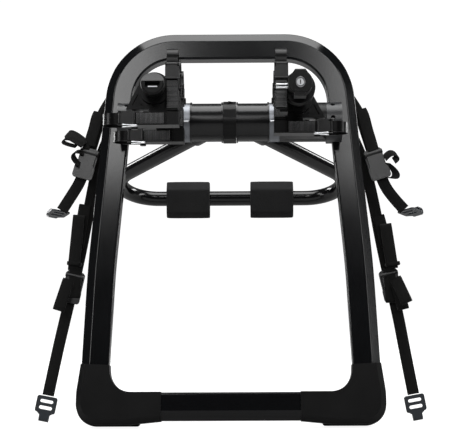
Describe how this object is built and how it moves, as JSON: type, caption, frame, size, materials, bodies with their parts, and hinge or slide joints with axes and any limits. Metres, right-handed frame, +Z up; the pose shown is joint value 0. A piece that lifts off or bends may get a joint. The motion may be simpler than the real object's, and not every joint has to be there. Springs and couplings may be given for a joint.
{
  "type": "trunk mounted bike rack",
  "caption": "Black trunk mounted bike rack with a leaning tube arch, folding arms with strapped cradles, a padded rear bar and webbing straps.",
  "frame": {"origin": "midway between the two feet at their lowest edge, in the middle plane of the leaning arch", "axes": "+X to the right seen from the bikes' side, +Y towards the vehicle, +Z up"},
  "size_m": [0.6528, 0.6957, 0.6553],
  "materials": {
    "frame_paint": "satin black powder coat",
    "moulded_black": "satin moulded",
    "gloss_black": "gloss black",
    "hub_gloss": "gloss",
    "collar_metal": "satin",
    "rubber_black": "matte",
    "foam_black": "fine foam",
    "strap_rubber": "smooth",
    "webbing_black": "woven",
    "buckle_black": "satin",
    "hook_paint": "dark coated steel",
    "bright_steel": "polished",
    "bolt_steel": "zinc plated"
  },
  "bodies": {
    "frame": {"arch_tube": "frame_paint", "bottom_bar": "frame_paint", "elbow_left": "moulded_black", "elbow_right": "moulded_black", "rubber_feet": "rubber_black", "hub_core": "frame_paint", "hub_end_left": "frame_paint", "hub_end_right": "frame_paint", "centre_collar": "moulded_black", "index_collars": "collar_metal", "hub_bolts": "bolt_steel", "strap_anchors": "bolt_steel", "upper_strap_left": "webbing_black", "upper_strap_right": "webbing_black", "lower_strap_left": "webbing_black", "lower_strap_right": "webbing_black", "strap_hooks": "hook_paint", "cam_buckles": "buckle_black"},
    "pad_frame": {"pivot_sleeves": "hub_gloss", "pad_tube": "gloss_black", "foam_pad_left": "foam_black", "foam_pad_right": "foam_black"},
    "arm_left": {"arm_casting_left": "moulded_black", "arm_tube_left": "gloss_black", "opener_cap": "moulded_black", "opener_bar": "bright_steel", "cradle_left_middle": "moulded_black"},
    "arm_right": {"arm_casting_right": "moulded_black", "arm_tube_right": "gloss_black", "lock_housing": "moulded_black", "cradle_right_near": "moulded_black", "cradle_right_far": "moulded_black"},
    "lock": {"lock_core": "bright_steel"},
    "pin_left": {"index_pin_left": "bolt_steel"},
    "pin_right": {"index_pin_right": "bolt_steel"},
    "swing_left_far": {"cradle_left_far": "moulded_black"},
    "strap_body_left_far": {"strap_left_far": "strap_rubber"},
    "lever_body_left_far": {"lever_left_far": "buckle_black"},
    "sway_strap_body_left_far": {"sway_strap_left_far": "strap_rubber"},
    "sway_lever_body_left_far": {"sway_lever_left_far": "buckle_black"},
    "strap_body_left_middle": {"strap_left_middle": "strap_rubber"},
    "lever_body_left_middle": {"lever_left_middle": "buckle_black"},
    "swing_left_near": {"cradle_left_near": "moulded_black"},
    "strap_body_left_near": {"strap_left_near": "strap_rubber"},
    "lever_body_left_near": {"lever_left_near": "buckle_black"},
    "sway_strap_body_left_near": {"sway_strap_left_near": "strap_rubber"},
    "sway_lever_body_left_near": {"sway_lever_left_near": "buckle_black"},
    "strap_body_right_far": {"strap_right_far": "strap_rubber"},
    "lever_body_right_far": {"lever_right_far": "buckle_black"},
    "swing_right_middle": {"cradle_right_middle": "moulded_black"},
    "strap_body_right_middle": {"strap_right_middle": "strap_rubber"},
    "lever_body_right_middle": {"lever_right_middle": "buckle_black"},
    "sway_strap_body_right_middle": {"sway_strap_right_middle": "strap_rubber"},
    "sway_lever_body_right_middle": {"sway_lever_right_middle": "buckle_black"},
    "strap_body_right_near": {"strap_right_near": "strap_rubber"},
    "lever_body_right_near": {"lever_right_near": "buckle_black"},
    "upper_cam_left": {"upper_cam_lever_left": "buckle_black"},
    "upper_cam_right": {"upper_cam_lever_right": "buckle_black"},
    "lower_cam_left": {"lower_cam_lever_left": "buckle_black"},
    "lower_cam_right": {"lower_cam_lever_right": "buckle_black"}
  },
  "joints": [
    {"name": "arm_left_fold", "type": "hinge", "parent": "frame", "child": "arm_left", "pos_m": [0, 0.02517, 0.49653], "axis": [1, 0, 0], "range_deg": [0, 85]},
    {"name": "arm_right_fold", "type": "hinge", "parent": "frame", "child": "arm_right", "pos_m": [0, 0.02517, 0.49653], "axis": [1, 0, 0], "range_deg": [0, 85]},
    {"name": "pad_frame_angle", "type": "hinge", "parent": "frame", "child": "pad_frame", "pos_m": [0, 0.02517, 0.49653], "axis": [1, 0, 0], "range_deg": [-30, 45]},
    {"name": "lock_turn", "type": "hinge", "parent": "arm_right", "child": "lock", "pos_m": [0.104, -0.36578, 0.52524], "axis": [0, -0.9973, 0.0732], "range_deg": [0, 90]},
    {"name": "index_pin_left_slide", "type": "slide", "parent": "arm_left", "child": "pin_left", "axis": [-1, 0, 0], "range_m": [0, 0.005]},
    {"name": "index_pin_right_slide", "type": "slide", "parent": "arm_right", "child": "pin_right", "axis": [1, 0, 0], "range_m": [0, 0.005]},
    {"name": "cradle_left_far_swing", "type": "hinge", "parent": "arm_left", "child": "swing_left_far", "pos_m": [-0.104, -0.12443, 0.50752], "axis": [0, -0.9973, 0.0732], "range_deg": [-20, 20]},
    {"name": "strap_left_far_open", "type": "hinge", "parent": "swing_left_far", "child": "strap_body_left_far", "pos_m": [-0.078, -0.10445, 0.52009], "axis": [-1, 0, 0], "range_deg": [0, 58]},
    {"name": "lever_left_far_open", "type": "hinge", "parent": "strap_body_left_far", "child": "lever_body_left_far", "pos_m": [-0.078, -0.14525, 0.54214], "axis": [-1, 0, 0], "range_deg": [0, 70]},
    {"name": "sway_strap_left_far_open", "type": "hinge", "parent": "swing_left_far", "child": "sway_strap_body_left_far", "pos_m": [-0.134, -0.10874, 0.46175], "axis": [0, -0.0732, -0.9973], "range_deg": [0, 58]},
    {"name": "sway_lever_left_far_open", "type": "hinge", "parent": "sway_strap_body_left_far", "child": "sway_lever_body_left_far", "pos_m": [-0.153, -0.15093, 0.46485], "axis": [0, -0.0732, -0.9973], "range_deg": [0, 70]},
    {"name": "strap_left_middle_open", "type": "hinge", "parent": "arm_left", "child": "strap_body_left_middle", "pos_m": [-0.078, -0.19421, 0.52668], "axis": [-1, 0, 0], "range_deg": [0, 58]},
    {"name": "lever_left_middle_open", "type": "hinge", "parent": "strap_body_left_middle", "child": "lever_body_left_middle", "pos_m": [-0.078, -0.23501, 0.54873], "axis": [-1, 0, 0], "range_deg": [0, 70]},
    {"name": "cradle_left_near_swing", "type": "hinge", "parent": "arm_left", "child": "swing_left_near", "pos_m": [-0.104, -0.30395, 0.5207], "axis": [0, -0.9973, 0.0732], "range_deg": [-20, 20]},
    {"name": "strap_left_near_open", "type": "hinge", "parent": "swing_left_near", "child": "strap_body_left_near", "pos_m": [-0.078, -0.28397, 0.53327], "axis": [-1, 0, 0], "range_deg": [0, 58]},
    {"name": "lever_left_near_open", "type": "hinge", "parent": "strap_body_left_near", "child": "lever_body_left_near", "pos_m": [-0.078, -0.32477, 0.55532], "axis": [-1, 0, 0], "range_deg": [0, 70]},
    {"name": "sway_strap_left_near_open", "type": "hinge", "parent": "swing_left_near", "child": "sway_strap_body_left_near", "pos_m": [-0.134, -0.28825, 0.47493], "axis": [0, -0.0732, -0.9973], "range_deg": [0, 58]},
    {"name": "sway_lever_left_near_open", "type": "hinge", "parent": "sway_strap_body_left_near", "child": "sway_lever_body_left_near", "pos_m": [-0.153, -0.33044, 0.47803], "axis": [0, -0.0732, -0.9973], "range_deg": [0, 70]},
    {"name": "strap_right_far_open", "type": "hinge", "parent": "arm_right", "child": "strap_body_right_far", "pos_m": [0.078, -0.10445, 0.52009], "axis": [-1, 0, 0], "range_deg": [0, 58]},
    {"name": "lever_right_far_open", "type": "hinge", "parent": "strap_body_right_far", "child": "lever_body_right_far", "pos_m": [0.078, -0.14525, 0.54214], "axis": [-1, 0, 0], "range_deg": [0, 70]},
    {"name": "cradle_right_middle_swing", "type": "hinge", "parent": "arm_right", "child": "swing_right_middle", "pos_m": [0.104, -0.21419, 0.51411], "axis": [0, -0.9973, 0.0732], "range_deg": [-20, 20]},
    {"name": "strap_right_middle_open", "type": "hinge", "parent": "swing_right_middle", "child": "strap_body_right_middle", "pos_m": [0.078, -0.19421, 0.52668], "axis": [-1, 0, 0], "range_deg": [0, 58]},
    {"name": "lever_right_middle_open", "type": "hinge", "parent": "strap_body_right_middle", "child": "lever_body_right_middle", "pos_m": [0.078, -0.23501, 0.54873], "axis": [-1, 0, 0], "range_deg": [0, 70]},
    {"name": "sway_strap_right_middle_open", "type": "hinge", "parent": "swing_right_middle", "child": "sway_strap_body_right_middle", "pos_m": [0.134, -0.1985, 0.46834], "axis": [0, 0.0732, 0.9973], "range_deg": [0, 58]},
    {"name": "sway_lever_right_middle_open", "type": "hinge", "parent": "sway_strap_body_right_middle", "child": "sway_lever_body_right_middle", "pos_m": [0.153, -0.24068, 0.47144], "axis": [0, 0.0732, 0.9973], "range_deg": [0, 70]},
    {"name": "strap_right_near_open", "type": "hinge", "parent": "arm_right", "child": "strap_body_right_near", "pos_m": [0.078, -0.28397, 0.53327], "axis": [-1, 0, 0], "range_deg": [0, 58]},
    {"name": "lever_right_near_open", "type": "hinge", "parent": "strap_body_right_near", "child": "lever_body_right_near", "pos_m": [0.078, -0.32477, 0.55532], "axis": [-1, 0, 0], "range_deg": [0, 70]},
    {"name": "upper_cam_left_open", "type": "hinge", "parent": "frame", "child": "upper_cam_left", "pos_m": [-0.23843, 0.08347, 0.45162], "axis": [-0.9615, 0.0406, 0.2717], "range_deg": [0, 80]},
    {"name": "upper_cam_right_open", "type": "hinge", "parent": "frame", "child": "upper_cam_right", "pos_m": [0.2411, 0.08294, 0.44806], "axis": [-0.954, -0.0443, -0.2965], "range_deg": [0, 80]},
    {"name": "lower_cam_left_open", "type": "hinge", "parent": "frame", "child": "lower_cam_left", "pos_m": [-0.2611, 0.06415, 0.24387], "axis": [-0.9747, 0.033, 0.2209], "range_deg": [0, 80]},
    {"name": "lower_cam_right_open", "type": "hinge", "parent": "frame", "child": "lower_cam_right", "pos_m": [0.26415, 0.0643, 0.24487], "axis": [-0.9757, -0.0324, -0.2166], "range_deg": [0, 80]}
  ]
}
